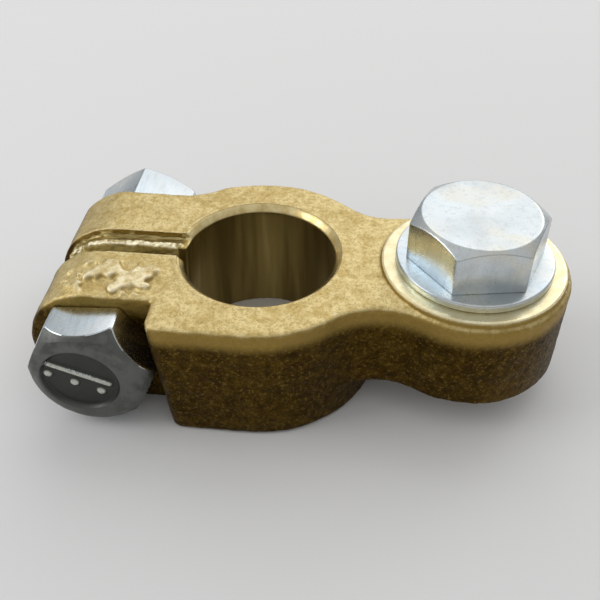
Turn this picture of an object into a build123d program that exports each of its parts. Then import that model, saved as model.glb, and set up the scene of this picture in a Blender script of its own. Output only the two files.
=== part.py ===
from build123d import *
import math
import os

# Battery terminal clamp. A brass casting grips the tapered battery post between two
# ears that an M8 bolt and nut pull together. A lug on its other end takes the cable's
# ring terminal under an M8 bolt and washer.
# Millimetres, with the origin on the axis of the post bore, at the underside.
# +X points to the lug, +Y to the clamp nut and +Z up, off the battery.

# Ring round the battery post
body_height = 15.2
ring_radius = 13.5
bore_top_radius = 8.35
bore_taper = 1 / 9  # growth of the diameter per unit of height
bore_edge = 0.75

# Ears, with a sawn slit between them
ear_reach = 16.9  # post axis to the middle of their round ends
bolt_inset = 0.1  # clamp bolt's axis from that middle, towards the post
bolt_drop = 0.3  # and towards the underside
near_ear_face = 9.2
far_ear_face = 10.3
slit_width = 2.2
slit_centre = -0.5
relief_width = 1.8  # step along the far ear's side of the slit
relief_depth = 0.8
root_radius = 8.0  # where the far ear leaves the ring

# Shoulder beside the bolt head
shoulder_lean = 6.0  # degrees
shoulder_corner = 1.4

# Neck and lug
lug_reach = 23.4  # post axis to lug bolt axis
lug_radius = 10.5
lug_underside = 4.4
neck_radius = 8.0  # of its hollow sides
seat_radius = 10.0  # machined face under the washer
seat_rise = 0.6
seat_edge = 0.3

edge_radius = 0.6  # cast edges

# M8 fasteners
thread_radius = 4.0
thread_gap = 0.05  # radial, in the lug and in the nut
hole_gap = 0.25  # radial, through the ears
tip_chamfer = 0.8
hex_slope = 35  # degrees, of the turned chamfer on hexagons
blank_margin = 1.0  # turned blank beyond a hexagon's corners

clamp_head_flats = 12.6  # forged a little under the nominal 13
clamp_head_height = 5.0
clamp_head_corner = 7.2  # radius that its corners are turned down to
clamp_head_disc = 5.3  # radius inside the chamfer
clamp_head_turn = 4.0  # degrees
clamp_dish_radius = 4.4
clamp_dish_depth = 0.5
clamp_dish_offset = 0.7  # away from the post
clamp_shank = 28.0
nut_flats = 12.0
nut_height = 7.2
nut_disc = 5.7
nut_turn = 27.0  # degrees
head_gap = 0.2  # between the turning head and the shoulder

lug_head_flats = 13.0
lug_head_height = 5.3
lug_head_disc = 6.15
lug_head_turn = 9.4  # degrees
lug_shank = 12.0
washer_radius = 8.45
washer_hole_radius = 4.2
washer_thickness = 1.0
washer_edge = 0.2


def tangent_centre(distance, radius_a, radius_b, radius):
    """Centre of an arc that touches two circles from outside, the second a distance away."""
    reach_a = radius_a + radius
    reach_b = radius_b + radius
    x = (distance**2 + reach_a**2 - reach_b**2) / (2 * distance)
    return x, math.sqrt(reach_a**2 - x**2)


def chamfered_hexagon(plane, across_flats, blank_radius, height, disc_radius, turn, both_ends=False):
    """Hexagon standing on a plane, with its far end or both ends turned to a chamfer."""
    cut = blank_radius - disc_radius
    with BuildPart() as block:
        with BuildSketch(plane):
            Circle(blank_radius)
        extrude(amount=height)
        rims = block.edges().filter_by(GeomType.CIRCLE).sort_by_distance(plane.origin)
        faces = block.faces().filter_by(GeomType.PLANE).sort_by_distance(plane.origin)
        for rim, face in list(zip(rims, faces))[0 if both_ends else 1 :]:
            chamfer(rim, length=cut, angle=hex_slope, reference=face)
        with BuildSketch(plane):
            RegularPolygon(across_flats / 2, 6, major_radius=False, rotation=turn)
        extrude(amount=height, mode=Mode.INTERSECT)
    return block.part


# Worked out from the sizes above
bore_base_radius = bore_top_radius + bore_taper * body_height / 2
bore_edge_radius = bore_top_radius + bore_taper * bore_edge / 2
seat_height = body_height + seat_rise
ear_height = body_height / 2  # of the middle of the ears' round ends
ear_end = ear_reach + ear_height
bolt_reach = ear_reach - bolt_inset
bolt_height = ear_height - bolt_drop
slit_far_side = slit_centre + slit_width / 2
lug_head_blank = lug_head_flats / math.sqrt(3) + blank_margin
nut_blank = nut_flats / math.sqrt(3) + blank_margin

wall_slope = math.tan(math.radians(shoulder_lean))
wall_reach = (clamp_head_corner + head_gap) / math.cos(math.radians(shoulder_lean))
wall_foot = wall_reach - bolt_reach + bolt_height * wall_slope
wall_top = wall_foot - body_height * wall_slope

neck_x, neck_y = tangent_centre(lug_reach, ring_radius, lug_radius, neck_radius)
ring_share = ring_radius / (ring_radius + neck_radius)
lug_share = lug_radius / (lug_radius + neck_radius)
neck_side = [
    (0, neck_y * ring_share),
    (neck_x * ring_share, neck_y * ring_share),
    (lug_reach + (neck_x - lug_reach) * lug_share, neck_y * lug_share),
]
neck_outline = neck_side + [(x, -y) for x, y in reversed(neck_side)]

# Planes that the pieces stand on, each facing away from the casting
ear_plane = Plane((-bolt_reach, -near_ear_face, bolt_height), x_dir=(1, 0, 0), z_dir=(0, -1, 0))
nut_plane = Plane((-bolt_reach, far_ear_face, bolt_height), x_dir=(1, 0, 0), z_dir=(0, 1, 0))
seat_plane = Plane((lug_reach, 0, seat_height))
washer_plane = seat_plane.offset(washer_thickness)


# Step beside the slit that follows the top, the round end and the underside
with BuildPart() as relief:
    with BuildSketch(Plane.XZ.offset(-slit_far_side)):
        with Locations((-ear_end / 2, ear_height)):
            Rectangle(ear_end, body_height)
        with Locations((-ear_reach / 2, ear_height)):
            Rectangle(ear_reach, body_height - 2 * relief_depth, mode=Mode.SUBTRACT)
        with Locations((-ear_reach, ear_height)):
            Circle(ear_height - relief_depth, mode=Mode.SUBTRACT)
    extrude(amount=-relief_width)

# The casting
with BuildPart() as clamp_body:
    # Ring, squared off on the bolt head's side
    with BuildSketch():
        Circle(ring_radius)
        with Locations((-ear_reach / 2, -ring_radius / 2)):
            Rectangle(ear_reach, ring_radius)
    extrude(amount=body_height)

    # Room for the bolt head, with a leaning wall that its turned corners pass
    with BuildSketch(Plane.XZ.offset(near_ear_face)):
        Polygon(
            (-ear_end, 0),
            (wall_foot, 0),
            (wall_top, body_height),
            (-ear_end, body_height),
            align=None,
        )
    extrude(amount=ring_radius, mode=Mode.SUBTRACT)

    # Ears, rounded about the bolt
    with BuildSketch(Plane.XZ.offset(near_ear_face)):
        with Locations((-ear_reach, ear_height)):
            Circle(ear_height)
        with Locations((-ear_reach / 2, ear_height)):
            Rectangle(ear_reach, body_height)
    extrude(amount=-(near_ear_face + far_ear_face))

    # Neck and lug, higher underneath than the ring
    with BuildSketch(Plane.XY.offset(lug_underside)):
        Polygon(*neck_outline, align=None)
        with Locations((neck_x, neck_y), (neck_x, -neck_y)):
            Circle(neck_radius, mode=Mode.SUBTRACT)
        with Locations((lug_reach, 0)):
            Circle(lug_radius)
    extrude(amount=body_height - lug_underside)

    # Upright corners first, then the edges that run round them
    for corner, radius in [
        ((-ring_radius / 2, far_ear_face), root_radius),
        ((wall_foot, -ring_radius), shoulder_corner),
    ]:
        upright = clamp_body.edges().filter_by(lambda e: abs(e.tangent_at(0.5).Z) > 0.9)
        fillet(upright.sort_by_distance((*corner, body_height / 2))[0], radius)
    top_edges = clamp_body.faces().sort_by(Axis.Z)[-1].edges()
    base_edges = clamp_body.faces().sort_by(Axis.Z)[0].edges()
    seams = top_edges.sort_by(Axis.X)[:1] + base_edges.sort_by(Axis.X)[:1]
    end_edges = clamp_body.edges().filter_by(GeomType.CIRCLE).filter_by_position(Axis.X, -ear_end, -ear_reach)
    fillet([e for e in top_edges + base_edges + end_edges if e not in seams], edge_radius)

    # Machined seat for the washer, and the threaded hole in it
    with BuildSketch(seat_plane):
        Circle(seat_radius)
    extrude(amount=-body_height / 2)
    fillet(clamp_body.faces().sort_by(Axis.Z)[-1].edges(), seat_edge)
    with Locations(seat_plane):
        Hole(thread_radius + thread_gap)

    # Tapered bore for the battery post, its upper rim broken
    with BuildSketch(Plane.XZ):
        Polygon(
            (0, 0),
            (bore_base_radius, 0),
            (bore_edge_radius, body_height - bore_edge),
            (bore_top_radius + bore_edge, body_height),
            (0, body_height),
            align=None,
        )
    revolve(axis=Axis.Z, mode=Mode.SUBTRACT)

    # Bolt hole through both ears, the slit between them and the step along it
    with Locations(ear_plane):
        Hole(thread_radius + hole_gap)
    with BuildSketch():
        with Locations((-ear_end / 2, slit_centre)):
            Rectangle(ear_end, slit_width)
    extrude(amount=body_height, mode=Mode.SUBTRACT)
    add(relief.part, mode=Mode.SUBTRACT)
clamp_body.part.label = "clamp_body"

# Bolt through the ears, its dished head against the near one
with BuildPart() as clamp_bolt:
    add(
        chamfered_hexagon(
            ear_plane,
            clamp_head_flats,
            clamp_head_corner,
            clamp_head_height,
            clamp_head_disc,
            clamp_head_turn,
        )
    )
    with BuildSketch(ear_plane.offset(clamp_head_height)):
        with Locations((-clamp_dish_offset, 0)):
            Circle(clamp_dish_radius)
    extrude(amount=-clamp_dish_depth, mode=Mode.SUBTRACT)
    with BuildSketch(ear_plane):
        Circle(thread_radius)
    extrude(amount=-clamp_shank)
    chamfer(clamp_bolt.faces().sort_by(Axis.Y)[-1].edges(), tip_chamfer)
clamp_bolt.part.label = "clamp_bolt"

# Nut on the far ear, a corner upwards
with BuildPart() as clamp_nut:
    add(chamfered_hexagon(nut_plane, nut_flats, nut_blank, nut_height, nut_disc, nut_turn, both_ends=True))
    with Locations(nut_plane):
        Hole(thread_radius + thread_gap)
clamp_nut.part.label = "clamp_nut"

# Washer on the seat
with BuildPart() as lug_washer:
    with BuildSketch(seat_plane):
        Circle(washer_radius)
        Circle(washer_hole_radius, mode=Mode.SUBTRACT)
    extrude(amount=washer_thickness)
    fillet(lug_washer.edges().filter_by(GeomType.CIRCLE).sort_by(SortBy.RADIUS)[-2:], washer_edge)
lug_washer.part.label = "lug_washer"

# Bolt in the lug's thread, its head on the washer
with BuildPart() as lug_bolt:
    add(
        chamfered_hexagon(
            washer_plane,
            lug_head_flats,
            lug_head_blank,
            lug_head_height,
            lug_head_disc,
            lug_head_turn,
        )
    )
    with BuildSketch(washer_plane):
        Circle(thread_radius)
    extrude(amount=-lug_shank)
    chamfer(lug_bolt.faces().sort_by(Axis.Z)[0].edges(), tip_chamfer)
lug_bolt.part.label = "lug_bolt"

os.makedirs("parts", exist_ok=True)
for piece in [clamp_body, clamp_bolt, clamp_nut, lug_washer, lug_bolt]:
    export_step(piece.part, f"parts/{piece.part.label}.step")
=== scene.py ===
import math

import bmesh
import bpy
import numpy as np
from mathutils import Matrix, Vector, noise


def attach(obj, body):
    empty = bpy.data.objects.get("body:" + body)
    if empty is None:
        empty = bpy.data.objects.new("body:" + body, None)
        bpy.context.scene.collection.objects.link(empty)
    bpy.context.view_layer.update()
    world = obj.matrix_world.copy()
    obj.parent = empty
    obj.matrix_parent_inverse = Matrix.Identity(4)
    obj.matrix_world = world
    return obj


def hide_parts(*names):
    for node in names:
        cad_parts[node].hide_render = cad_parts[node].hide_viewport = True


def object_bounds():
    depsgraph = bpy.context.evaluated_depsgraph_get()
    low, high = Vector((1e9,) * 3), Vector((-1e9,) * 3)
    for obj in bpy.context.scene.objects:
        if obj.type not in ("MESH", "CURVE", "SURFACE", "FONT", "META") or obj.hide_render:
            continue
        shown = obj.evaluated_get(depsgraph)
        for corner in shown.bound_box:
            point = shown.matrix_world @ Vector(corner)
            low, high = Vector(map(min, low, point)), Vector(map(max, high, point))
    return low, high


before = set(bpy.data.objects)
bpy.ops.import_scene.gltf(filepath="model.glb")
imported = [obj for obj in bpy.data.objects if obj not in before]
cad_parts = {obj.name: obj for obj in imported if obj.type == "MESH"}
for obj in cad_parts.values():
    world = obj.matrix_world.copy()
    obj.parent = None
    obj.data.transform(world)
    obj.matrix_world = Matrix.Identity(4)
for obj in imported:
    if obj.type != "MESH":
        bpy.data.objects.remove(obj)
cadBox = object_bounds()
scene = bpy.context.scene
mm = 0.001
creaseDegrees = 38  # sharper edges than this stay sharp


def smoothStep(value, low, high):
    t = np.clip((value - low) / (high - low), 0.0, 1.0)
    return t * t * (3.0 - 2.0 * t)


def frameAt(origin, along, across):
    # local z runs along and local x across, unit vectors in the part's frame
    z = Vector(along)
    x = Vector(across)
    y = z.cross(x)
    turn = Matrix((x, y, z)).transposed().to_4x4()
    return Matrix.Translation(Vector(origin) * mm) @ turn


def meshObject(name, points, faces, placed=None):
    mesh = bpy.data.meshes.new(name)
    mesh.from_pydata([tuple(p) for p in points], [], faces)
    if placed is not None:
        mesh.transform(placed)
    mesh.update()
    piece = bpy.data.objects.new(name, mesh)
    scene.collection.objects.link(piece)
    return piece


def ringFaces(rows, columns, start=0):
    # quads between closed rings of points
    faces = []
    for i in range(rows - 1):
        for j in range(columns):
            k = (j + 1) % columns
            here = start + i * columns
            faces.append((here + columns + j, here + columns + k, here + k, here + j))
    return faces


def smoothByAngle(piece, degrees):
    mesh = piece.data
    bm = bmesh.new()
    bm.from_mesh(mesh)
    bmesh.ops.remove_doubles(bm, verts=bm.verts, dist=1e-6)
    bmesh.ops.recalc_face_normals(bm, faces=bm.faces)
    limit = math.radians(degrees)
    for edge in bm.edges:
        edge.smooth = len(edge.link_faces) != 2 or edge.calc_face_angle(0.0) < limit
    for face in bm.faces:
        face.smooth = True
    bm.to_mesh(mesh)
    bm.free()


view = {
    "target": (4.33, 1.53, 7.0),
    "distance": 97.94,
    "azimuth": 6.21,
    "elevation": 41.91,
    "roll": -0.15,
    "focal": 49.706,
    "film": 36.0,
    "nearest": 0.005,  # clipping, in metres
    "farthest": 20.0,
}


def placeCamera(v):
    a = math.radians(v["azimuth"])
    e = math.radians(v["elevation"])
    back = Vector((math.sin(a) * math.cos(e), -math.cos(a) * math.cos(e), math.sin(e)))
    camera = bpy.data.objects.new("camera", bpy.data.cameras.new("camera"))
    camera.data.lens = v["focal"]
    camera.data.sensor_width = v["film"]
    camera.data.clip_start = v["nearest"]
    camera.data.clip_end = v["farthest"]
    turn = (-back).to_track_quat("-Z", "Y").to_matrix().to_4x4()
    roll = Matrix.Rotation(math.radians(v["roll"]), 4, "Z")
    place = (Vector(v["target"]) + back * v["distance"]) * mm
    camera.matrix_world = Matrix.Translation(place) @ turn @ roll
    scene.collection.objects.link(camera)
    scene.camera = camera


studio = {
    "floorColour": (0.79, 0.79, 0.785),
    "floorRoughness": 0.85,
    "floorShine": 0.2,
    "floorHalf": 1.6,
    "floorGap": 0.00002,  # below the part, so that the two faces don't flicker
    "skyTop": 1.3,
    "skySide": 0.5,
    "skyTopFrom": 0.8,
    "skyStrength": 0.5,
    # name: place, aimed at, size in metres, watts
    "lamps": {
        "key": ((0.05, 0.42, 0.35), (0.0, 0.0, 0.01), 0.62, 0.95),
        "backPanel": ((0.27, 0.34, 0.20), (0.01, 0.0, 0.01), 0.20, 0.2),
        "leftPanel": ((-0.36, -0.06, 0.24), (0.0, 0.0, 0.01), 0.24, 0.5),
    },
}


def buildStudio(s):
    world = bpy.data.worlds.new("softStudio")
    scene.world = world
    world.use_nodes = True
    tree = world.node_tree
    tree.nodes.clear()
    out = tree.nodes.new("ShaderNodeOutputWorld")
    sky = tree.nodes.new("ShaderNodeBackground")
    sky.inputs["Strength"].default_value = s["skyStrength"]
    place = tree.nodes.new("ShaderNodeTexCoord")
    split = tree.nodes.new("ShaderNodeSeparateXYZ")
    ramp = tree.nodes.new("ShaderNodeMapRange")
    ramp.inputs["From Min"].default_value = 0.0
    ramp.inputs["From Max"].default_value = s["skyTopFrom"]
    ramp.inputs["To Min"].default_value = s["skySide"]
    ramp.inputs["To Max"].default_value = s["skyTop"]
    tree.links.new(place.outputs["Generated"], split.inputs[0])
    tree.links.new(split.outputs["Z"], ramp.inputs["Value"])
    tree.links.new(ramp.outputs["Result"], sky.inputs["Color"])
    tree.links.new(sky.outputs[0], out.inputs["Surface"])
    for name, (place, aim, size, watts) in s["lamps"].items():
        lamp = bpy.data.lights.new(name, "AREA")
        lamp.size = size
        lamp.energy = watts
        holder = bpy.data.objects.new(name, lamp)
        holder.location = place
        holder.rotation_mode = "QUATERNION"
        holder.rotation_quaternion = (Vector(aim) - Vector(place)).to_track_quat("-Z", "Y")
        scene.collection.objects.link(holder)
    half = s["floorHalf"]
    corners = [(-half, -half, 0), (half, -half, 0), (half, half, 0), (-half, half, 0)]
    floor = meshObject("floor", corners, [(0, 1, 2, 3)])
    floor.location.z = -s["floorGap"]
    material = bpy.data.materials.new("paleFloor")
    material.use_nodes = True
    surface = material.node_tree.nodes["Principled BSDF"]
    surface.inputs["Base Color"].default_value = (*s["floorColour"], 1)
    surface.inputs["Roughness"].default_value = s["floorRoughness"]
    surface.inputs["Specular IOR Level"].default_value = s["floorShine"]
    floor.data.materials.append(material)


placeCamera(view)
buildStudio(studio)
scene.view_settings.view_transform = "Standard"
print("camera and studio ready")


def newMetal(name, roughness):
    material = bpy.data.materials.new(name)
    material.use_nodes = True
    tree = material.node_tree
    surface = tree.nodes["Principled BSDF"]
    surface.inputs["Metallic"].default_value = 1.0
    surface.inputs["Roughness"].default_value = roughness
    return material, tree, surface


def add(tree, kind, **values):
    node = tree.nodes.new(kind)
    for key, value in values.items():
        setattr(node, key, value)
    return node


def objectPlace(tree, scale=(1, 1, 1), shift=(0, 0, 0)):
    place = add(tree, "ShaderNodeTexCoord")
    move = add(tree, "ShaderNodeMapping")
    move.inputs["Location"].default_value = shift
    move.inputs["Scale"].default_value = scale
    tree.links.new(place.outputs["Object"], move.inputs["Vector"])
    return move.outputs["Vector"]


def grain(tree, place, perMetre, detail, rough, distortion=0.0):
    node = add(tree, "ShaderNodeTexNoise")
    node.inputs["Scale"].default_value = perMetre
    node.inputs["Detail"].default_value = detail
    node.inputs["Roughness"].default_value = rough
    node.inputs["Distortion"].default_value = distortion
    tree.links.new(place, node.inputs["Vector"])
    return node.outputs["Fac"]


def spread(tree, value, low, high, toLow=0.0, toHigh=1.0):
    # smooth rise from toLow to toHigh as the value goes from low to high
    node = add(tree, "ShaderNodeMapRange", clamp=True, interpolation_type="SMOOTHSTEP")
    tree.links.new(value, node.inputs["Value"])
    ends = {"From Min": low, "From Max": high, "To Min": toLow, "To Max": toHigh}
    for key, number in ends.items():
        node.inputs[key].default_value = number
    return node.outputs["Result"]


def maths(tree, operation, a, b):
    node = add(tree, "ShaderNodeMath", operation=operation)
    for socket, value in zip(node.inputs, (a, b)):
        if isinstance(value, (int, float)):
            socket.default_value = value
        else:
            tree.links.new(value, socket)
    return node.outputs[0]


def times(tree, *values):
    total = values[0]
    for value in values[1:]:
        total = maths(tree, "MULTIPLY", total, value)
    return total


def weigh(tree, *pairs):
    # sum of (value, share) pairs
    total = None
    for value, share in pairs:
        part = times(tree, value, share)
        total = part if total is None else maths(tree, "ADD", total, part)
    return total


def blendColour(tree, share, a, b):
    node = add(tree, "ShaderNodeMix", data_type="RGBA")
    tree.links.new(share, node.inputs[0])
    for socket, value in ((node.inputs[6], a), (node.inputs[7], b)):
        if isinstance(value, tuple):
            socket.default_value = (*value, 1)
        else:
            tree.links.new(value, socket)
    return node.outputs[2]


def blendNumber(tree, share, a, b):
    node = add(tree, "ShaderNodeMix", data_type="FLOAT")
    for socket, value in zip(node.inputs[0:1] + node.inputs[2:4], (share, a, b)):
        tree.links.new(value, socket)
    return node.outputs[0]


def splitAxes(tree, place):
    split = add(tree, "ShaderNodeSeparateXYZ")
    tree.links.new(place, split.inputs[0])
    return split.outputs


def lengthOf(tree, place):
    length = add(tree, "ShaderNodeVectorMath", operation="LENGTH")
    tree.links.new(place, length.inputs[0])
    return length.outputs["Value"]


def span(tree, value, low, high, soft=0.05):
    # 1 between low and high, falling to 0 over a soft border outside them
    return times(tree, spread(tree, value, low - soft, low), spread(tree, value, high + soft, high))


def emboss(tree, surface, height, strength, depth):
    bump = add(tree, "ShaderNodeBump")
    bump.inputs["Strength"].default_value = strength
    bump.inputs["Distance"].default_value = depth
    tree.links.new(height, bump.inputs["Height"])
    tree.links.new(bump.outputs["Normal"], surface.inputs["Normal"])


def facingPart(tree, axis):
    # how far the skin faces along one axis of the part
    coords = add(tree, "ShaderNodeTexCoord")
    return splitAxes(tree, coords.outputs["Normal"])[axis]


# Each look gives a colour, a roughness and a height to emboss.

castBrass = {
    "top": (0.60, 0.455, 0.185),
    "topPale": (0.77, 0.635, 0.32),
    "topDark": (0.38, 0.27, 0.09),
    # band: painted highlight on the sides just below the top edge
    "highlightBand": (0.42, 0.285, 0.075),
    # side and shadedSideDark: painted shade, the sides kept darker than the top as if the light
    # fell on the top only
    "side": (0.108, 0.062, 0.007),
    "shadedSideDark": (0.042, 0.022, 0.002),
    "sparkle": (0.34, 0.23, 0.06),
    # edge: rubbed brass, also a painted highlight along the upper corners
    "edge": (0.80, 0.69, 0.42),
    # proud: rubbed brass, also a painted highlight on the lumps' peaks
    "proudRubAndHighlight": (0.98, 0.88, 0.62),
    "roughness": (0.60, 0.42),
    "grainPerMetre": 2300,
    "mottlePerMetre": 900,
    "blotchesPerMetre": 230,
    # millimetres over which each fades in, up the part or along it
    "highlightBandHeights": (12.2, 13.9),
    "wornAndHighlightHeights": (13.2, 14.4),
    "proudHeights": (15.22, 15.55),
    "earsEnd": (-6.0, -7.0),
}


def castLook(tree, c, alongPart, height):
    place = objectPlace(tree)
    geometry = add(tree, "ShaderNodeNewGeometry")
    upward = spread(tree, facingPart(tree, "Z"), 0.35, 0.9)
    blotch = grain(tree, place, c["blotchesPerMetre"], 4, 0.65)
    coarse = grain(tree, place, c["grainPerMetre"], 3, 0.65)
    fine = grain(tree, place, c["grainPerMetre"] * 2.6, 2, 0.6)
    speck = weigh(tree, (coarse, 0.55), (fine, 0.45))
    middling = grain(tree, place, c["mottlePerMetre"], 3, 0.6)
    mottle = weigh(tree, (blotch, 0.45), (middling, 0.55))
    topColour = blendColour(tree, spread(tree, mottle, 0.38, 0.60), c["top"], c["topPale"])
    pits = spread(tree, speck, 0.56, 0.36, 0.0, 0.5)
    topColour = blendColour(tree, pits, topColour, c["topDark"])
    stain = spread(tree, weigh(tree, (speck, 0.45), (mottle, 0.55)), 0.40, 0.60)
    shadedSideColour = blendColour(tree, stain, c["shadedSideDark"], c["side"])
    glint = spread(tree, speck, 0.54, 0.66, 0.0, 0.5)
    shadedSideColour = blendColour(tree, glint, shadedSideColour, c["sparkle"])
    # sides painted lighter towards the top edge: a painted highlight where the edge rounds up into
    # the light
    highlightBand = spread(tree, height, *c["highlightBandHeights"], 0.0, 0.8)
    shadedSideColour = blendColour(tree, highlightBand, shadedSideColour, c["highlightBand"])
    # top against sides by facing: the sides carry painted shade
    skin = blendColour(tree, upward, shadedSideColour, topColour)
    # upper corners rubbed bright, and a painted highlight along these edges
    wornAndHighlight = times(tree, spread(tree, geometry.outputs["Pointiness"], 0.510, 0.555),
                 spread(tree, height, *c["wornAndHighlightHeights"]),
                 spread(tree, coarse, 0.32, 0.55, 0.25, 0.85))
    skin = blendColour(tree, wornAndHighlight, skin, c["edge"])
    # cast lumps that stand proud of the ears' top, rubbed brighter still and carrying a painted
    # highlight
    proudRubAndHighlight = times(tree, spread(tree, height, *c["proudHeights"]),
                  spread(tree, alongPart, *c["earsEnd"]),
                  spread(tree, mottle, 0.40, 0.60, 0.15, 0.85))
    skin = blendColour(tree, proudRubAndHighlight, skin, c["proudRubAndHighlight"])
    roughness = spread(tree, speck, 0.35, 0.65, *c["roughness"])
    return skin, roughness, weigh(tree, (speck, 1.0), (blotch, 0.7))


boreBrass = {
    "bright": (0.66, 0.53, 0.25),
    "middle": (0.40, 0.31, 0.115),
    "dark": (0.21, 0.155, 0.050),
    "roughness": (0.44, 0.30),
    "streaksPerMetre": 210,
}


def boreLook(tree, c):
    # streaks drawn out along the bore
    along = objectPlace(tree, (1, 1, 0.02))
    streak = grain(tree, along, c["streaksPerMetre"], 2, 0.55)
    fine = grain(tree, along, c["streaksPerMetre"] * 9, 2, 0.5)
    mixed = weigh(tree, (streak, 0.88), (fine, 0.12))
    colour = blendColour(tree, spread(tree, mixed, 0.36, 0.50), c["dark"], c["middle"])
    colour = blendColour(tree, spread(tree, mixed, 0.52, 0.64), colour, c["bright"])
    roughness = spread(tree, mixed, 0.35, 0.65, *c["roughness"])
    return colour, roughness, weigh(tree, (mixed, 0.15))


seatBrass = {
    "colour": (0.86, 0.78, 0.52),
    "shade": (0.78, 0.68, 0.41),
    "roughness": (0.38, 0.26),
    "ringsPerMetre": 1500,
    "cloudsPerMetre": 700,
}

rimBrass = {
    "colour": (0.78, 0.65, 0.34),
    "shade": (0.60, 0.46, 0.20),
    "roughness": (0.38, 0.26),
    "ringsPerMetre": 1500,
    "cloudsPerMetre": 700,
}


def seatLook(tree, c, centre):
    # faint turning rings about an upright axis
    about = objectPlace(tree, (1, 1, 1), (-centre[0] * mm, -centre[1] * mm, 0))
    rings = add(tree, "ShaderNodeTexWave", wave_type="RINGS", rings_direction="Z")
    rings.inputs["Scale"].default_value = c["ringsPerMetre"]
    rings.inputs["Distortion"].default_value = 0.6
    rings.inputs["Detail"].default_value = 2.0
    tree.links.new(about, rings.inputs["Vector"])
    cloud = grain(tree, objectPlace(tree), c["cloudsPerMetre"], 3, 0.6)
    colour = blendColour(tree, spread(tree, cloud, 0.35, 0.65), c["shade"], c["colour"])
    roughness = spread(tree, cloud, 0.3, 0.7, *c["roughness"])
    return colour, roughness, weigh(tree, (rings.outputs["Fac"], 0.03))


sawnBrass = {
    "bright": (0.50, 0.40, 0.17),
    "dark": (0.23, 0.165, 0.055),
    "wallBright": (0.95, 0.84, 0.48),
    "wallDark": (0.60, 0.48, 0.20),
    "roughness": (0.55, 0.38),
    "marksPerMetre": 3200,
}


def sawnLook(tree, c):
    # saw marks along the slit, cleaner on its walls than on the step
    marks = grain(tree, objectPlace(tree, (0.12, 1, 1)), c["marksPerMetre"], 3, 0.7)
    share = spread(tree, marks, 0.36, 0.62)
    step = blendColour(tree, share, c["dark"], c["bright"])
    wall = blendColour(tree, share, c["wallDark"], c["wallBright"])
    colour = blendColour(tree, spread(tree, facingPart(tree, "Z"), 0.5, 0.1), step, wall)
    roughness = spread(tree, marks, 0.35, 0.65, *c["roughness"])
    return colour, roughness, weigh(tree, (marks, 0.35))


burrBrass = {
    "colour": (1.0, 0.94, 0.72),
    "shade": (0.84, 0.74, 0.46),
    "roughness": (0.60, 0.48),
    "tearsPerMetre": 2600,
}


def burrLook(tree, c):
    torn = grain(tree, objectPlace(tree), c["tearsPerMetre"], 3, 0.6)
    colour = blendColour(tree, spread(tree, torn, 0.36, 0.6), c["shade"], c["colour"])
    roughness = spread(tree, torn, 0.35, 0.65, *c["roughness"])
    return colour, roughness, weigh(tree, (torn, 0.8))


brassAreas = {
    # millimetres
    "slitWidth": 2.22,
    "slitEnd": -7.4,
    "burrWidth": 0.72,
    "burrSoft": 0.16,
    "burrEnd": -8.0,
    "gapsPerMetre": 900,  # along the burr
    "rimDepth": 0.78,
    "rimWidth": 0.76,
    "boreMargin": 0.98,
    "seatMargin": 0.15,
    "seatFrom": 0.35,  # above the casting's top
    "threadRadius": 4.4,
    "outside": 30.0,  # farther than any of it reaches
    "emboss": (0.75, 0.00017),  # strength, and depth in metres
}


def makeBrass(c, areas):
    # one casting: rough cast skin, turned bore and seat, sawn slit with its burr
    material, tree, surface = newMetal("brass", 0.5)
    perMm = 1 / mm
    x, y, z = splitAxes(tree, objectPlace(tree, (perMm, perMm, perMm)))
    lugX, lugY = c["lugAxis"]
    fromPost = lengthOf(tree, objectPlace(tree, (perMm, perMm, 0)))
    fromLug = lengthOf(tree, objectPlace(tree, (perMm, perMm, 0), (-lugX, -lugY, 0)))
    step = c["slitCentre"] + c["slitHalf"]
    boreTop = c["boreTop"]
    edgeHeight = c["topHeight"] - areas["rimDepth"]
    outside = areas["outside"]
    gaps = grain(tree, objectPlace(tree), areas["gapsPerMetre"], 3, 0.6)

    sawn = times(tree, span(tree, y, step - areas["slitWidth"], step + c["stepWidth"]),
                 span(tree, x, -outside, areas["slitEnd"]))
    burr = times(tree, span(tree, y, step, step + areas["burrWidth"], areas["burrSoft"]),
                 span(tree, x, -outside, areas["burrEnd"]),
                 spread(tree, facingPart(tree, "Z"), -0.1, 0.2), spread(tree, gaps, 0.36, 0.52))
    rim = times(tree, span(tree, fromPost, -1, boreTop + areas["rimWidth"]),
                span(tree, z, edgeHeight, outside))
    bore = times(tree, span(tree, fromPost, -1, boreTop + areas["boreMargin"]),
                 span(tree, z, -1, edgeHeight))
    seat = times(tree, span(tree, fromLug, -1, c["seatRadius"] - areas["seatMargin"]),
                 span(tree, z, c["topHeight"] + areas["seatFrom"], outside))
    thread = span(tree, fromLug, -1, areas["threadRadius"])

    turned = seatLook(tree, seatBrass, c["lugAxis"])
    colour, roughness, height = castLook(tree, castBrass, x, z)
    for share, (itsColour, itsRoughness, itsHeight) in (
        (sawn, sawnLook(tree, sawnBrass)),
        (burr, burrLook(tree, burrBrass)),
        (rim, seatLook(tree, rimBrass, (0, 0))),
        (bore, boreLook(tree, boreBrass)),
        (seat, turned),
        (thread, turned),
    ):
        colour = blendColour(tree, share, colour, itsColour)
        roughness = blendNumber(tree, share, roughness, itsRoughness)
        height = blendNumber(tree, share, height, itsHeight)
    tree.links.new(colour, surface.inputs["Base Color"])
    tree.links.new(roughness, surface.inputs["Roughness"])
    emboss(tree, surface, height, *areas["emboss"])
    return material


zincPlate = {
    "colour": (0.66, 0.705, 0.725),
    "dull": (0.44, 0.475, 0.485),
    "blue": (0.54, 0.64, 0.71),
    "straw": (0.68, 0.655, 0.56),
    "roughness": (0.22, 0.34),
    "cloudsPerMetre": 190,
    "tintsPerMetre": 150,
    "marksPerMetre": 1900,
    "pitsPerMetre": 2600,
    "emboss": (0.16, 0.00003),
}


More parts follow.
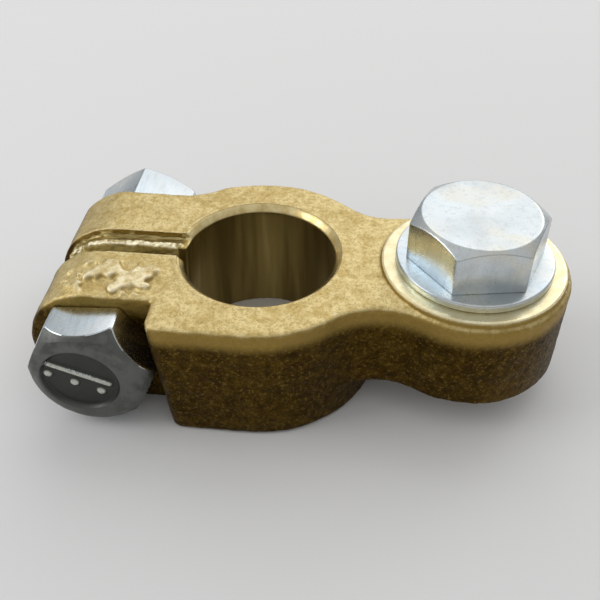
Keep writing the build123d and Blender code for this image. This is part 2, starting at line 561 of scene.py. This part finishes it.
def makeZinc(c, name, along, dull):
    # bright plating, softly clouded, with fine marks left along the metal's working
    material, tree, surface = newMetal(name, 0.26)
    place = objectPlace(tree)
    cloud = grain(tree, place, c["cloudsPerMetre"], 3, 0.5)
    drawn = grain(tree, objectPlace(tree, along), c["marksPerMetre"], 4, 0.65)
    pit = grain(tree, place, c["pitsPerMetre"], 2, 0.5)
    stained = spread(tree, cloud, 0.34, 0.72, 0.0, dull)
    colour = blendColour(tree, stained, c["colour"], c["dull"])
    # faint blue and straw tints of the passivated plating
    tint = grain(tree, place, c["tintsPerMetre"], 4, 0.6, 0.8)
    colour = blendColour(tree, spread(tree, tint, 0.50, 0.36, 0.0, 0.6), colour, c["blue"])
    colour = blendColour(tree, spread(tree, tint, 0.52, 0.68, 0.0, 0.6), colour, c["straw"])
    colour = blendColour(tree, spread(tree, drawn, 0.50, 0.68, 0.0, 0.4), colour, c["dull"])
    roughness = spread(tree, weigh(tree, (cloud, 0.6), (pit, 0.4)), 0.3, 0.7, *c["roughness"])
    tree.links.new(colour, surface.inputs["Base Color"])
    tree.links.new(roughness, surface.inputs["Roughness"])
    emboss(tree, surface, weigh(tree, (drawn, 0.7), (pit, 0.3)), *c["emboss"])
    return material


headEnd = {
    # colour: painted shade, the end face darkened as if turned from the light; dark: deeper painted
    # shade in the dish
    "colour": (0.155, 0.16, 0.148),
    "dark": (0.050, 0.052, 0.046),
    "raised": (0.62, 0.63, 0.57),
    "roughness": (0.34, 0.5),
    "cloudsPerMetre": 420,
    "grainPerMetre": 4200,
    "emboss": (0.5, 0.00008),
    # millimetres over which each fades in, inwards from the dish's rim or up from its floor
    "dishShadeInset": (-0.15, 0.35),
    "raisedInset": (0.35, 0.55),
    "raisedHeights": (0.10, 0.28),
}


def makeHeadEnd(c, name, centre, dishRadius):
    # forged end of the head: painted shade darkens it all over and more in the dish; rubbed pale
    # where it stands up
    material, tree, surface = newMetal(name, 0.4)
    place = objectPlace(tree)
    cloud = grain(tree, place, c["cloudsPerMetre"], 4, 0.6)
    fine = grain(tree, place, c["grainPerMetre"], 3, 0.6)
    about = lengthOf(tree, objectPlace(tree, (1, 0, 1), (-centre[0] * mm, 0, -centre[2] * mm)))
    # painted shade in the dish, darkest inside its rim
    dishShadeEdge = [(dishRadius - inset) * mm for inset in c["dishShadeInset"]]
    dishShade = spread(tree, about, *dishShadeEdge, 0.0, 0.85)
    shade = maths(tree, "MAXIMUM", dishShade, spread(tree, cloud, 0.45, 0.75, 0.0, 0.6))
    colour = blendColour(tree, shade, c["colour"], c["dark"])
    # bar and studs, where the skin stands above the floor of the dish
    heights = [(centre[1] - height) * mm for height in c["raisedHeights"]]
    raisedEdge = [(dishRadius - inset) * mm for inset in c["raisedInset"]]
    rubbed = times(tree, spread(tree, splitAxes(tree, place)["Y"], *heights),
                   spread(tree, about, *raisedEdge), spread(tree, fine, 0.3, 0.5, 0.55, 1.0))
    colour = blendColour(tree, rubbed, colour, c["raised"])
    tree.links.new(colour, surface.inputs["Base Color"])
    roughness = spread(tree, cloud, 0.3, 0.7, *c["roughness"])
    tree.links.new(roughness, surface.inputs["Roughness"])
    emboss(tree, surface, weigh(tree, (fine, 0.5), (cloud, 0.5)), *c["emboss"])
    return material


casting = {
    "voxel": 0.16,  # millimetres between points of the skin
    "quickVoxel": 0.3,
    "smoothing": (3, 0.5),  # rounds, and share of the way to the neighbours' middle
    "lowerRounding": 0.8,  # of the neck's and the lug's lower edges
    "sharpAngle": 1.0,  # radians; softer edges there aren't rounded
    "lugUnderside": 4.4,
    "level": 0.02,  # that a lower edge may be off the underside
    "holeClear": 6.0,  # from the lug's axis, which keeps its hole's edge sharp
    "lugAxis": (23.4, 0.0),
    "seatRadius": 10.0,
    "boreTop": 8.35,
    "topHeight": 15.2,
    "slitCentre": -0.5,
    "slitHalf": 1.1,
    "stepWidth": 1.8,
    # how far round the bore, seat, hole and slit the skin is left even
    "boreReach": 9.65,
    "seatReach": 10.3,
    "seatFrom": 0.15,  # above the casting's top
    "holeReach": 4.6,
    "slitReach": 1.35,
    "slitEnd": -6.0,
    "waves": (0.28, 0.09),  # slow waves of the cast skin: grain and depth
    "lumps": (1.1, 0.05),
    "sunk": 0.35,  # share of them that lies below the even skin
    "highest": 0.01,
    # cast lumps on the near ear
    "patchAt": (-15.0, -6.0),
    "patchHalf": (6.4, 3.0),
    "patchEdge": (0.75, 1.1),  # shares of its half size over which it ends
    "patchDepth": 3.0,
    "patchFacing": 0.3,
    "patchGrains": (0.52, 1.092),
    "patchLevels": (-0.22, 0.30),
    "patchHeight": 0.66,
    # burr along the far side of the slit
    "burr": 0.44,
    "burrGrains": (0.8, 2.2),
    "burrInset": 0.38,  # from the slit's far wall to the burr's crest
    "burrWidth": 0.36,
    "burrEnds": (8.7, 9.5),  # from the post, where it starts and is full
    "burrDepth": 3.5,  # that it follows the ear's round end down
    "burrFacing": -0.2,
}


def roundedCopy(node, c):
    # welded copy of the solid with the neck's and lug's lower edges rounded over
    bm = bmesh.new()
    bm.from_mesh(node.data)
    bmesh.ops.remove_doubles(bm, verts=bm.verts, dist=1e-7)
    bmesh.ops.dissolve_limit(bm, angle_limit=0.004, verts=bm.verts, edges=bm.edges)
    level = c["lugUnderside"] * mm
    lower = []
    for edge in bm.edges:
        if len(edge.link_faces) != 2 or not edge.is_convex:
            continue
        if max(abs(v.co.z - level) for v in edge.verts) > c["level"] * mm:
            continue
        middle = (edge.verts[0].co + edge.verts[1].co) / 2
        fromHole = math.hypot(middle.x - c["lugAxis"][0] * mm, middle.y - c["lugAxis"][1] * mm)
        if fromHole > c["holeClear"] * mm and edge.calc_face_angle(0.0) > c["sharpAngle"]:
            lower.append(edge)
    print("lower edges", len(lower))
    bmesh.ops.bevel(bm, geom=lower, offset=c["lowerRounding"] * mm, offset_type="OFFSET",
                    segments=4, profile=0.5, affect="EDGES", clamp_overlap=True)
    mesh = bpy.data.meshes.new("castingCopy")
    bm.to_mesh(mesh)
    bm.free()
    piece = bpy.data.objects.new("castingCopy", mesh)
    scene.collection.objects.link(piece)
    return piece


def evenSkin(piece, name, voxel):
    # one closed skin of evenly spread points over the whole casting
    remesh = piece.modifiers.new("skin", "REMESH")
    remesh.mode = "VOXEL"
    remesh.voxel_size = voxel * mm
    remesh.use_smooth_shade = True
    bpy.context.view_layer.update()
    shaped = piece.evaluated_get(bpy.context.evaluated_depsgraph_get())
    mesh = bpy.data.meshes.new_from_object(shaped)
    mesh.name = name
    bpy.data.objects.remove(piece)
    skin = bpy.data.objects.new(name, mesh)
    scene.collection.objects.link(skin)
    return skin


def readRows(items, field, across, kind=float):
    flat = np.empty(len(items) * across, dtype=kind)
    items.foreach_get(field, flat)
    return flat.reshape(-1, across)


def setPoints(mesh, points):
    mesh.vertices.foreach_set("co", (points * mm).ravel())
    mesh.update()


def relax(points, edges, rounds, share):
    count = np.bincount(edges.ravel(), minlength=len(points))[:, None]
    for _ in range(rounds):
        total = np.zeros_like(points)
        for axis in range(3):
            total[:, axis] = (np.bincount(edges[:, 0], points[edges[:, 1], axis], len(points))
                              + np.bincount(edges[:, 1], points[edges[:, 0], axis], len(points)))
        points = points + share * (total / count - points)
    return points


def noiseOver(points, perMillimetre, seed):
    offset = Vector((seed * 3.1, seed * 7.7, seed * 1.9))
    return np.array([noise.noise(Vector(p) * perMillimetre + offset) for p in points])


def castWaves(c, points):
    # slow waves and small lumps of the cast skin, away from the turned and sawn faces
    x, y, z = points.T
    fromLug = np.hypot(x - c["lugAxis"][0], y - c["lugAxis"][1])
    inBore = np.hypot(x, y) < c["boreReach"]
    onSeat = (z > c["topHeight"] + c["seatFrom"]) & (fromLug < c["seatReach"])
    inHole = fromLug < c["holeReach"]
    inSlit = (np.abs(y - c["slitCentre"]) < c["slitReach"]) & (x < c["slitEnd"])
    cast = 1.0 - (inBore | onSeat | inHole | inSlit)
    rise = 0 * x
    for seed, (perMm, depth) in enumerate((c["waves"], c["lumps"]), 1):
        rise += depth * (noiseOver(points, perMm, seed) - c["sunk"])
    return np.minimum(cast * rise, c["highest"])


def patchLumps(c, points, upward):
    # share and rise of the cast lumps on the near ear's top, the skin sunk between them
    x, y, z = points.T
    fromPatch = np.hypot((x - c["patchAt"][0]) / c["patchHalf"][0],
                         (y - c["patchAt"][1]) / c["patchHalf"][1])
    onTop = (z > c["topHeight"] - c["patchDepth"]) & (upward > c["patchFacing"])
    share = (1 - smoothStep(fromPatch, *c["patchEdge"])) * onTop
    coarse, fine = (noiseOver(points, c["patchGrains"][k], 5 + k) for k in (0, 1))
    lumps = smoothStep(coarse + 0.55 * fine, *c["patchLevels"])
    return share, c["patchHeight"] * lumps - c["sunk"] * c["patchHeight"]


def burrRise(c, even, points, upward):
    # ragged burr along the far side of the slit, where the saw broke out of the step
    x, y, z = even.T
    crest = c["slitCentre"] + c["slitHalf"]
    coarse, fine = (noiseOver(points, c["burrGrains"][k], 3 + k) for k in (0, 1))
    ragged = 0.85 + 0.8 * coarse + 0.6 * fine
    beside = np.exp(-((y - crest - c["burrInset"]) / c["burrWidth"]) ** 2)
    beside = beside * smoothStep(-x, *c["burrEnds"]) * (upward > c["burrFacing"])
    outer = z - c["topHeight"] + c["burrDepth"] > 0
    return beside * outer * c["burr"] * np.clip(ragged, -0.2, 1.5)


def dressCasting(c):
    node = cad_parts["clamp_body"]
    voxel = c["voxel"]
    skin = evenSkin(roundedCopy(node, c), "castingSkin", voxel)
    mesh = skin.data
    edges = readRows(mesh.edges, "vertices", 2, np.int64)
    even = relax(readRows(mesh.vertices, "co", 3) / mm, edges, *c["smoothing"])
    setPoints(mesh, even)
    normals = readRows(mesh.vertex_normals, "vector", 3)
    upward = normals[:, 2]

    rise = castWaves(c, even)
    share, lumps = patchLumps(c, even, upward)
    rise = np.where(share > 0, rise * (1 - share) + share * lumps, rise)
    points = even + normals * rise[:, None]
    points += normals * burrRise(c, even, points, upward)[:, None]
    setPoints(mesh, np.maximum(points, np.array(cadBox[0]) / mm))

    mesh.materials.append(makeBrass(c, brassAreas))
    count = len(mesh.polygons)
    mesh.polygons.foreach_set("use_smooth", np.ones(count, dtype=bool))
    mesh.update()
    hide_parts("clamp_body")
    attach(skin, "casting")
    print("casting dressed:", count, "faces")


dressCasting(casting)


pitch = 1.25
threadDepth = 0.72
mouthSlope = 0.9  # of a hole's countersunk ends
# share of a pitch, share of the depth: crest, flank, root, flank
threadShape = [(0.0, 0.0), (0.125, 0.0), (0.4375, 1.0), (0.6875, 1.0), (1.0, 0.0)]


def threadPoints(radius, low, high, endRadius, turnSteps, inside=False):
    # strip wound up the axis; its ends are turned down, or opened out inside a hole
    turns = math.ceil((high - low) / pitch) + 2
    points = []
    for k in range(turns * turnSteps + 1):
        angle = 2 * math.pi * k / turnSteps
        for share, depth in threadShape:
            height = pitch * (math.floor(low / pitch) - 1 + k / turnSteps + share)
            height = min(max(height, low), high)
            r = radius - threadDepth * depth
            if inside:
                toEnd = min(height - low, high - height)
                r = max(r, endRadius - toEnd * mouthSlope)
            else:
                r = min(r, endRadius + height - low)
            points.append((r * math.cos(angle), r * math.sin(angle), height))
    return points, turns * turnSteps + 1, len(threadShape)


def stripFaces(rows, columns, start=0):
    faces = []
    for i in range(rows - 1):
        for j in range(columns - 1):
            a = start + i * columns + j
            faces.append((a, a + columns, a + columns + 1, a + 1))
    return faces


def hexagonRim(apothem, cornerRound, turn, flatSteps, cornerSteps):
    # angle and radius of each column round a hexagon with softened corners
    touch = math.atan((apothem - cornerRound) * math.tan(math.pi / 6) / apothem)
    centre = (apothem - cornerRound) / math.cos(math.pi / 6)
    angles, radii = [], []
    for side in range(6):
        middle = math.radians(turn + 30 + 60 * side)
        for i in range(flatSteps):
            d = -touch + 2 * touch * i / flatSteps
            angles.append(middle + d)
            radii.append(apothem / math.cos(d))
        for i in range(cornerSteps):
            d = touch + (math.pi / 3 - 2 * touch) * i / cornerSteps
            off = math.pi / 6 - d
            angles.append(middle + d)
            beyond = cornerRound**2 - (centre * math.sin(off))**2
            radii.append(centre * math.cos(off) + math.sqrt(max(beyond, 0.0)))
    return np.array(angles), np.array(radii)


def softenedLine(corners, reach, steps):
    # corners is a list of (radius, height) arrays; each inner corner is rounded over
    line = [corners[0]]
    for before, at, after, size in zip(corners, corners[1:], corners[2:], reach):
        toBefore = np.hypot(before[0] - at[0], before[1] - at[1])
        toAfter = np.hypot(after[0] - at[0], after[1] - at[1])
        s = np.minimum(size, 0.45 * np.minimum(toBefore, toAfter))
        a = [at[n] + (before[n] - at[n]) * s / np.maximum(toBefore, 1e-9) for n in (0, 1)]
        b = [at[n] + (after[n] - at[n]) * s / np.maximum(toAfter, 1e-9) for n in (0, 1)]
        for i in range(steps + 1):
            t = i / steps
            line.append(tuple((1 - t)**2 * a[n] + 2 * t * (1 - t) * at[n] + t * t * b[n]
                              for n in (0, 1)))
    line.append(corners[-1])
    return line


def pointsAround(rings, angles, centre=(0, 0)):
    points = []
    for r, z in rings:
        points += list(zip(r * np.cos(angles) + centre[0], r * np.sin(angles) + centre[1], z))
    return points


def headPoints(h, endShape):
    # rings of points from the middle of the end face, over its rim and down to the seat
    angles, rim = hexagonRim(h["flats"] / 2, h["cornerRound"], h["turn"], h["flatSteps"],
                             h["cornerSteps"])
    rim = np.minimum(rim, h["corner"])
    full = np.ones_like(rim)
    height = h["height"]
    inner = h["disc"] - 2.3 * h["discRound"]  # flat as far as its rounding
    corners = [(inner * full, height * full)]
    for share in (0.0, 0.45, 1.0):
        beyond = (rim - h["disc"]) * share  # outside the flat disc
        fall = h["slope"] * beyond + h["dome"] * beyond**2
        corners.append((h["disc"] + beyond, height - fall))
    corners += [(rim, 0 * full), ((h["flats"] / 2 - h["seatInset"]) * full, 0 * full)]
    rounds = (h["discRound"], h["discRound"], h["rimRound"], h["seatRound"])
    rings = [(inner * i / h["faceRings"] * full, height * full) for i in range(1, h["faceRings"])]
    rings += softenedLine(corners, rounds, h["roundSteps"])
    points = np.array([(0, 0, height)] + pointsAround(rings, angles))
    end = points[:, 2] > height - h["pressed"]
    points[end, 2] += endShape(points[end, 0], points[end, 1])
    return points, len(rings), len(angles)


def headFaces(rings, columns):
    faces = [(0, 1 + j, 1 + (j + 1) % columns) for j in range(columns)]
    faces += ringFaces(rings, columns, 1)
    return faces


def boltPiece(name, placed, head, shank, endShape):
    points, rings, columns = headPoints(head, endShape)
    faces = headFaces(rings, columns)
    start = len(points)
    steps = shank["turnSteps"]
    tipRadius = shank["radius"] - shank["tip"]
    wound, rows, across = threadPoints(shank["radius"], -shank["length"], shank["intoHead"],
                                       tipRadius, steps)
    faces += stripFaces(rows, across, start)
    points = np.vstack([points, wound])
    # flat end of the shank
    tip = len(points)
    turns = [2 * math.pi * i / steps for i in range(steps)]
    end = -shank["length"]
    ring = [(tipRadius * math.cos(a), tipRadius * math.sin(a), end) for a in turns]
    points = np.vstack([points, ring])
    faces.append(tuple(range(tip, tip + steps))[::-1])
    piece = meshObject(name, points * mm, faces, placed)
    smoothByAngle(piece, creaseDegrees)
    return piece


clampBolt = {
    "place": (-16.8, -9.2, 7.3),
    "head": {
        "flats": 12.6, "corner": 7.2, "height": 5.0, "turn": 4.0, "cornerRound": 0.4,
        "disc": 5.3, "slope": 0.15, "dome": 0.46,  # end falls away domed beyond the disc
        "discRound": 0.12, "rimRound": 0.22, "seatRound": 0.15,
        "pressed": 0.3,  # depth below the end to which its shape is pressed in
        "seatInset": 0.6, "faceRings": 64, "flatSteps": 30, "cornerSteps": 7, "roundSteps": 4,
    },
    "shank": {"radius": 4.0, "length": 28.0, "tip": 0.8, "intoHead": 0.15, "turnSteps": 72},
    "dishRadius": 4.4,
    "dishDepth": 0.5,
    "dishOffset": -0.7,
    "dishWall": 0.45,
    "barTurn": -21.0,
    "barMiddle": (-0.2, 0.95),  # from the dish's middle
    "barHalf": 4.05,
    "barRamp": 0.5,
    "barSides": (0.08, 0.40),
    "barHeight": 0.38,
    "studsAlong": (-2.95, 0.0, 2.95),
    "studDrop": 1.5,  # from the bar
    "studSides": (0.25, 0.75),
    "studHeight": 0.30,
    "dullness": 0.6,
    "endFacing": -0.5,  # faces turned at least so far to the end have its look
    "endDepth": 2.5,
}


def dishWithBar(x, y):
    # round dish with a plain raised bar across it and three low studs below the bar
    c = clampBolt
    x = x - c["dishOffset"]
    r = np.hypot(x, y)
    sunk = -c["dishDepth"] * (1 - smoothStep(r, c["dishRadius"] - c["dishWall"], c["dishRadius"]))
    a = math.radians(c["barTurn"])
    across, up = x - c["barMiddle"][0], y - c["barMiddle"][1]
    u = across * math.cos(a) + up * math.sin(a)
    v = -across * math.sin(a) + up * math.cos(a)
    bar = c["barHeight"] * (1 - smoothStep(np.abs(v), *c["barSides"]))
    bar = bar * (1 - smoothStep(np.abs(u), c["barHalf"] - c["barRamp"], c["barHalf"]))
    studs = 0 * r
    for at in c["studsAlong"]:
        fromStud = np.hypot(u - at, v + c["studDrop"])
        studs = np.maximum(studs, c["studHeight"] * (1 - smoothStep(fromStud, *c["studSides"])))
    return np.minimum(sunk + np.maximum(bar, studs), 0.0)


boltAxis = frameAt(clampBolt["place"], (0, -1, 0), (1, 0, 0))
clampBoltPiece = boltPiece("clampBolt", boltAxis, clampBolt["head"], clampBolt["shank"],
                           dishWithBar)
clampBoltZinc = makeZinc(zincPlate, "clampBoltZinc", (1, 0.15, 1), clampBolt["dullness"])
boltX, boltY, boltZ = clampBolt["place"]
dishFloor = boltY - clampBolt["head"]["height"] + clampBolt["dishDepth"]
dishCentre = (boltX + clampBolt["dishOffset"], dishFloor, boltZ)
clampHeadEnd = makeHeadEnd(headEnd, "clampHeadEnd", dishCentre, clampBolt["dishRadius"])
clampBoltPiece.data.materials.append(clampBoltZinc)
clampBoltPiece.data.materials.append(clampHeadEnd)
endFrom = (boltY - clampBolt["endDepth"]) * mm
for face in clampBoltPiece.data.polygons:
    if face.normal.y < clampBolt["endFacing"] and face.center.y < endFrom:
        face.material_index = 1
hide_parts("clamp_bolt")
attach(clampBoltPiece, "clamp_bolt")
print("clamp bolt made")


lugBolt = {
    "place": (23.4, 0.0, 16.8),
    "head": {
        "flats": 13.0, "corner": 7.45, "height": 5.3, "turn": 9.4, "cornerRound": 0.2,
        "disc": 6.15, "slope": 0.7, "dome": 0.0,
        "discRound": 0.18, "rimRound": 0.15, "seatRound": 0.12, "pressed": 0.3,
        "seatInset": 0.6, "faceRings": 26, "flatSteps": 18, "cornerSteps": 7, "roundSteps": 4,
    },
    "shank": {"radius": 4.0, "length": 12.0, "tip": 0.8, "intoHead": 0.15, "turnSteps": 72},
    "hollow": 0.05,
    "hollowRadius": 5.4,
    "dullness": 0.75,
}


def hollowEnd(x, y):
    # end face pressed very slightly hollow
    return -lugBolt["hollow"] * (1 - smoothStep(np.hypot(x, y), 0.0, lugBolt["hollowRadius"]))


lugAxis = frameAt(lugBolt["place"], (0, 0, 1), (1, 0, 0))
lugBoltPiece = boltPiece("lugBolt", lugAxis, lugBolt["head"], lugBolt["shank"], hollowEnd)
lugBoltZinc = makeZinc(zincPlate, "lugBoltZinc", (1, 1, 0.15), lugBolt["dullness"])
lugBoltPiece.data.materials.append(lugBoltZinc)
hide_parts("lug_bolt")
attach(lugBoltPiece, "lug_bolt")
print("lug bolt made")


clampNut = {
    "nearEnd": -19.5,  # along the clamp bolt's axis, from under its head
    "height": 7.2,
    "flats": 12.0,
    "disc": 5.7,
    "turn": 33.0,
    "chamferDegrees": 35,
    "cornerRound": 0.3,
    "edgeRound": 0.15,
    "holeRadius": 4.07,
    "mouthRadius": 4.35,
    "flatSteps": 14,
    "cornerSteps": 5,
    "roundSteps": 3,
    "turnSteps": 72,
    "dullness": 0.3,
}


def nutPiece(n):
    angles, rim = hexagonRim(n["flats"] / 2, n["cornerRound"], n["turn"], n["flatSteps"],
                             n["cornerSteps"])
    full = np.ones_like(rim)
    drop = (rim - n["disc"]) * math.tan(math.radians(n["chamferDegrees"]))
    top = n["nearEnd"]
    base = top - n["height"]
    corners = [
        (n["mouthRadius"] * full, top * full),
        (n["disc"] * full, top * full),
        (rim, top - drop),
        (rim, base + drop),
        (n["disc"] * full, base * full),
        (n["mouthRadius"] * full, base * full),
    ]
    rings = softenedLine(corners, (n["edgeRound"],) * 4, n["roundSteps"])
    points = pointsAround(rings, angles)
    faces = ringFaces(len(rings), len(angles))
    start = len(points)
    wound, rows, across = threadPoints(n["holeRadius"], base, top, n["mouthRadius"],
                                       n["turnSteps"], inside=True)
    points = np.vstack([np.array(points), wound])
    faces += stripFaces(rows, across, start)
    piece = meshObject("clampNut", points * mm, faces, boltAxis)
    smoothByAngle(piece, creaseDegrees)
    return piece


clampNutPiece = nutPiece(clampNut)
nutZinc = makeZinc(zincPlate, "nutZinc", (1, 0.15, 1), clampNut["dullness"])
clampNutPiece.data.materials.append(nutZinc)
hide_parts("clamp_nut")
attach(clampNutPiece, "clamp_nut")
print("clamp nut made")


lugWasher = {
    "seat": 15.8,
    "thickness": 1.0,
    "outer": 8.45,
    "inner": 4.2,
    "outerRound": 0.25,
    "innerRound": 0.15,
    "columns": 120,
    "roundSteps": 4,
    "dullness": 0.3,
}


def washerPiece(w):
    angles = np.linspace(0, 2 * math.pi, w["columns"], endpoint=False)
    full = np.ones_like(angles)
    top, base = w["seat"] + w["thickness"], w["seat"]
    middle = (w["inner"] + w["outer"]) / 2
    corners = [
        (middle * full, top * full),
        (w["outer"] * full, top * full),
        (w["outer"] * full, base * full),
        (w["inner"] * full, base * full),
        (w["inner"] * full, top * full),
        (middle * full, top * full),
    ]
    rounds = (w["outerRound"], w["outerRound"], w["innerRound"], w["innerRound"])
    rings = softenedLine(corners, rounds, w["roundSteps"])
    points = np.array(pointsAround(rings, angles, casting["lugAxis"]))
    piece = meshObject("lugWasher", points * mm, ringFaces(len(rings), len(angles)))
    smoothByAngle(piece, creaseDegrees)
    return piece


lugWasherPiece = washerPiece(lugWasher)
washerZinc = makeZinc(zincPlate, "washerZinc", (1, 1, 1), lugWasher["dullness"])
lugWasherPiece.data.materials.append(washerZinc)
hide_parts("lug_washer")
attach(lugWasherPiece, "lug_washer")
print("washer made")
